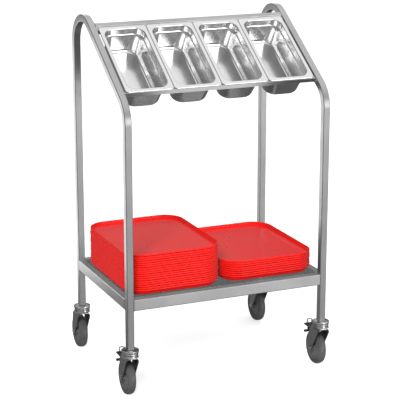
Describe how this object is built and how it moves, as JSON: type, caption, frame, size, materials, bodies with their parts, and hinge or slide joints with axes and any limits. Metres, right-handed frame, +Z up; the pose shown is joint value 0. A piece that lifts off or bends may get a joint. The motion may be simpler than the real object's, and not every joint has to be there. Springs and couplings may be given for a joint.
{
  "type": "cutlery and tray trolley",
  "caption": "Stainless-steel trolley with a sloping rack of lift-out cutlery pans, a lower shelf with stacked red serving trays, bent-tube side frames and braked swivel castors.",
  "frame": {"origin": "on the floor, under the middle of the whole footprint, castors included", "axes": "+Z up, +X to the right of the user who faces the trolley's low front edge, +Y from the front to the rear"},
  "size_m": [0.802, 0.6366, 1.278],
  "materials": {
    "frame_steel": "brushed stainless steel, satin, grain along each tube",
    "shelf_steel": "stainless sheet, fine grain, glossy",
    "pan_steel": "bright stainless steel, deep drawn, nearly mirror polished",
    "zinc": "bright zinc plate on pressed steel",
    "bright_zinc": "bright zinc plate, glossy",
    "wheel_centre": "grey moulded nylon",
    "tyre_rubber": "grey non-marking rubber, matt, slightly scuffed",
    "black_polymer": "black moulded nylon, fine grain",
    "red_polymer": "red moulded plastic, semi-gloss"
  },
  "bodies": {
    "frame": {"side_frame_left": "frame_steel", "side_frame_right": "frame_steel", "shelf_rail_front": "frame_steel", "shelf_rail_rear": "frame_steel", "shelf_rail_left": "frame_steel", "shelf_rail_right": "frame_steel", "shelf_panel": "shelf_steel", "pan_rail_front": "frame_steel", "pan_rail_rear": "frame_steel", "castor_front_left_mount": "bright_zinc", "castor_front_right_mount": "bright_zinc", "castor_rear_left_mount": "bright_zinc", "castor_rear_right_mount": "bright_zinc"},
    "castor_front_left_swivel": {"castor_front_left_fork": "zinc", "castor_front_left_axle_bolt": "bright_zinc"},
    "castor_front_left_wheel": {"castor_front_left_hub": "wheel_centre", "castor_front_left_tyre": "tyre_rubber"},
    "castor_front_left_brake": {"castor_front_left_brake_pedal": "black_polymer"},
    "castor_front_right_swivel": {"castor_front_right_fork": "zinc", "castor_front_right_axle_bolt": "bright_zinc"},
    "castor_front_right_wheel": {"castor_front_right_hub": "wheel_centre", "castor_front_right_tyre": "tyre_rubber"},
    "castor_front_right_brake": {"castor_front_right_brake_pedal": "black_polymer"},
    "castor_rear_left_swivel": {"castor_rear_left_fork": "zinc", "castor_rear_left_axle_bolt": "bright_zinc"},
    "castor_rear_left_wheel": {"castor_rear_left_hub": "wheel_centre", "castor_rear_left_tyre": "tyre_rubber"},
    "castor_rear_right_swivel": {"castor_rear_right_fork": "zinc", "castor_rear_right_axle_bolt": "bright_zinc"},
    "castor_rear_right_wheel": {"castor_rear_right_hub": "wheel_centre", "castor_rear_right_tyre": "tyre_rubber"},
    "pan_1_lift": {"pan_1": "pan_steel"},
    "pan_2_lift": {"pan_2": "pan_steel"},
    "pan_3_lift": {"pan_3": "pan_steel"},
    "pan_4_lift": {"pan_4": "pan_steel"},
    "tray_stack_left": {"tray_left_01": "red_polymer", "tray_left_02": "red_polymer", "tray_left_03": "red_polymer", "tray_left_04": "red_polymer", "tray_left_05": "red_polymer", "tray_left_06": "red_polymer", "tray_left_07": "red_polymer", "tray_left_08": "red_polymer", "tray_left_09": "red_polymer", "tray_left_10": "red_polymer", "tray_left_11": "red_polymer", "tray_left_12": "red_polymer", "tray_left_13": "red_polymer", "tray_left_14": "red_polymer", "tray_left_15": "red_polymer", "tray_left_16": "red_polymer"},
    "top_tray_left": {"tray_left_17": "red_polymer"},
    "tray_stack_right": {"tray_right_01": "red_polymer", "tray_right_02": "red_polymer", "tray_right_03": "red_polymer", "tray_right_04": "red_polymer", "tray_right_05": "red_polymer", "tray_right_06": "red_polymer", "tray_right_07": "red_polymer"},
    "top_tray_right": {"tray_right_08": "red_polymer"}
  },
  "joints": [
    {"name": "castor_front_left_swivel", "type": "hinge", "parent": "frame", "child": "castor_front_left_swivel", "pos_m": [-0.37, -0.28728, 0.155], "axis": [0, 0, 1], "continuous": true},
    {"name": "castor_front_left_roll", "type": "hinge", "parent": "castor_front_left_swivel", "child": "castor_front_left_wheel", "pos_m": [-0.36843, -0.25132, 0.0625], "axis": [0.999, -0.0436, 0], "continuous": true},
    {"name": "castor_front_left_brake_press", "type": "hinge", "parent": "castor_front_left_swivel", "child": "castor_front_left_brake", "pos_m": [-0.36878, -0.25931, 0.135], "axis": [-0.999, 0.0436, 0], "range_deg": [0, 4.5]},
    {"name": "castor_front_right_swivel", "type": "hinge", "parent": "frame", "child": "castor_front_right_swivel", "pos_m": [0.37, -0.28728, 0.155], "axis": [0, 0, 1], "continuous": true},
    {"name": "castor_front_right_roll", "type": "hinge", "parent": "castor_front_right_swivel", "child": "castor_front_right_wheel", "pos_m": [0.37157, -0.25132, 0.0625], "axis": [0.999, -0.0436, 0], "continuous": true},
    {"name": "castor_front_right_brake_press", "type": "hinge", "parent": "castor_front_right_swivel", "child": "castor_front_right_brake", "pos_m": [0.37122, -0.25931, 0.135], "axis": [-0.999, 0.0436, 0], "range_deg": [0, 4.5]},
    {"name": "castor_rear_left_swivel", "type": "hinge", "parent": "frame", "child": "castor_rear_left_swivel", "pos_m": [-0.37, 0.21972, 0.155], "axis": [0, 0, 1], "continuous": true},
    {"name": "castor_rear_left_roll", "type": "hinge", "parent": "castor_rear_left_swivel", "child": "castor_rear_left_wheel", "pos_m": [-0.36843, 0.25568, 0.0625], "axis": [0.999, -0.0436, 0], "continuous": true},
    {"name": "castor_rear_right_swivel", "type": "hinge", "parent": "frame", "child": "castor_rear_right_swivel", "pos_m": [0.37, 0.21972, 0.155], "axis": [0, 0, 1], "continuous": true},
    {"name": "castor_rear_right_roll", "type": "hinge", "parent": "castor_rear_right_swivel", "child": "castor_rear_right_wheel", "pos_m": [0.37157, 0.25568, 0.0625], "axis": [0.999, -0.0436, 0], "continuous": true},
    {"name": "pan_1_lift", "type": "slide", "parent": "frame", "child": "pan_1_lift", "axis": [0, -0.5534, 0.8329], "range_m": [0, 0.14]},
    {"name": "pan_2_lift", "type": "slide", "parent": "frame", "child": "pan_2_lift", "axis": [0, -0.5534, 0.8329], "range_m": [0, 0.14]},
    {"name": "pan_3_lift", "type": "slide", "parent": "frame", "child": "pan_3_lift", "axis": [0, -0.5534, 0.8329], "range_m": [0, 0.14]},
    {"name": "pan_4_lift", "type": "slide", "parent": "frame", "child": "pan_4_lift", "axis": [0, -0.5534, 0.8329], "range_m": [0, 0.14]},
    {"name": "tray_stack_left_lift", "type": "slide", "parent": "frame", "child": "tray_stack_left", "axis": [0, 0, 1], "range_m": [0, 0.15]},
    {"name": "top_tray_left_lift", "type": "slide", "parent": "tray_stack_left", "child": "top_tray_left", "axis": [0, 0, 1], "range_m": [0, 0.15]},
    {"name": "tray_stack_right_lift", "type": "slide", "parent": "frame", "child": "tray_stack_right", "axis": [0, 0, 1], "range_m": [0, 0.15]},
    {"name": "top_tray_right_lift", "type": "slide", "parent": "tray_stack_right", "child": "top_tray_right", "axis": [0, 0, 1], "range_m": [0, 0.15]}
  ]
}
